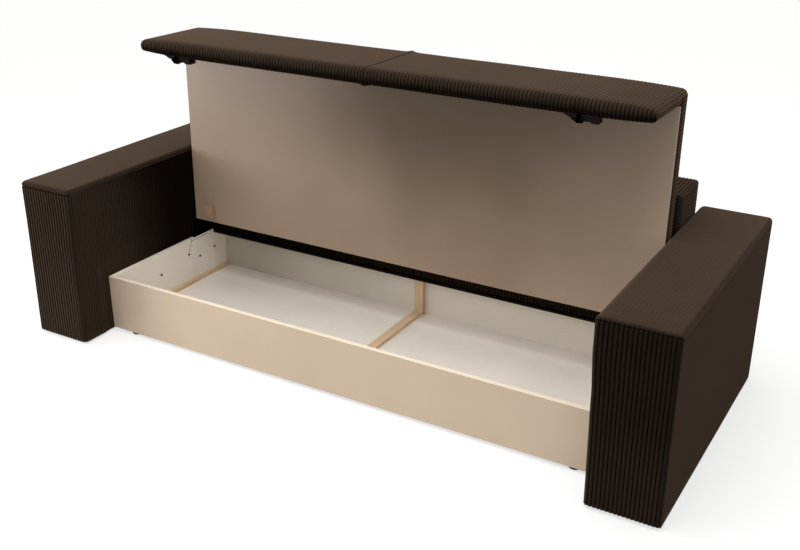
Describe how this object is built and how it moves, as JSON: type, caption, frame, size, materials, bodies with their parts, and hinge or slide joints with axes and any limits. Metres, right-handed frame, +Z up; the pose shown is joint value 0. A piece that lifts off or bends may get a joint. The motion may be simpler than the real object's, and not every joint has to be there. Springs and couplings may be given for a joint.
{
  "type": "storage sofa",
  "caption": "Box-arm sofa in wide-rib corduroy with an open storage box, a fixed backrest and a padded seat with a front apron that slides forward and lifts up.",
  "frame": {"origin": "middle of the footprint, on the floor", "axes": "+X to the right along the seat as the sofa is looked at from the front, -Y towards the front, +Z up"},
  "size_m": [2.4, 1.01, 1.0577],
  "materials": {
    "corduroy": "matte",
    "chipboard": "matte",
    "pine": "satin",
    "batten_pine": "satin",
    "birch_block": "satin",
    "lining_cloth": "matte",
    "cloth_lined_board": "matte",
    "black_plastic": "satin",
    "laminate_front": "satin",
    "edging": "satin",
    "white_laminate": "satin",
    "white_hardboard": "satin",
    "dark_screw": "satin",
    "foam": "matte",
    "zinc_steel": "satin",
    "black_steel": "satin",
    "underside_laminate": "satin",
    "wheel_plastic": "satin"
  },
  "bodies": {
    "sofa_base": {"arm_left_cover": "corduroy", "arm_right_cover": "corduroy", "arm_left_inner_board": "chipboard", "arm_right_inner_board": "chipboard", "arm_left_outer_board": "chipboard", "arm_right_outer_board": "chipboard", "arm_left_end_boards": "chipboard", "arm_right_end_boards": "chipboard", "arm_left_top_board": "chipboard", "arm_right_top_board": "chipboard", "arm_left_corner_blocks": "pine", "arm_right_corner_blocks": "pine", "arm_linings": "lining_cloth", "arm_glides": "black_plastic", "box_front_panel": "laminate_front", "box_front_edging": "edging", "box_left_panel": "white_laminate", "box_right_panel": "white_laminate", "box_back_panel": "white_laminate", "box_floor_rails": "pine", "box_floor_left": "white_hardboard", "box_floor_right": "white_hardboard", "floor_batten_left": "batten_pine", "floor_batten_right": "batten_pine", "floor_batten_centre": "batten_pine", "back_wall_batten": "batten_pine", "box_feet": "black_plastic", "box_screws": "dark_screw", "backrest_cover": "corduroy", "backrest_foam": "foam", "backrest_end_boards": "chipboard", "backrest_rails": "pine", "backrest_base_board": "cloth_lined_board", "backrest_spacers": "zinc_steel", "backrest_bolts": "zinc_steel"},
    "seat_carriage": {"hinge_pins": "zinc_steel", "shoe_brackets": "black_steel", "shoe_screws": "zinc_steel", "guide_shoes": "black_plastic"},
    "seat": {"seat_base_panel": "underside_laminate", "seat_long_rails": "pine", "seat_cross_rails": "pine", "seat_foam": "foam", "seat_cover": "corduroy", "apron_board": "chipboard", "apron_cover": "corduroy", "seat_stop_blocks": "birch_block", "seat_hinge_plates": "black_steel", "seat_hinge_screws": "zinc_steel", "caster_left_housing": "black_plastic", "caster_right_housing": "black_plastic", "caster_left_axle": "zinc_steel", "caster_right_axle": "zinc_steel"},
    "wheel_left": {"caster_left_wheel": "wheel_plastic"},
    "wheel_right": {"caster_right_wheel": "wheel_plastic"}
  },
  "joints": [
    {"name": "seat_slide", "type": "slide", "parent": "sofa_base", "child": "seat_carriage", "axis": [0, -1, 0], "range_m": [0, 0.44]},
    {"name": "seat_lift", "type": "hinge", "parent": "seat_carriage", "child": "seat", "pos_m": [0, 0.2075, 0.3275], "axis": [1, 0, 0], "range_deg": [0, 90.7]},
    {"name": "wheel_left_spin", "type": "hinge", "parent": "seat", "child": "wheel_left", "pos_m": [-0.78, -0.09678, 1.00227], "axis": [1, 0, 0], "continuous": true},
    {"name": "wheel_right_spin", "type": "hinge", "parent": "seat", "child": "wheel_right", "pos_m": [0.73, -0.09678, 1.00227], "axis": [1, 0, 0], "continuous": true}
  ]
}
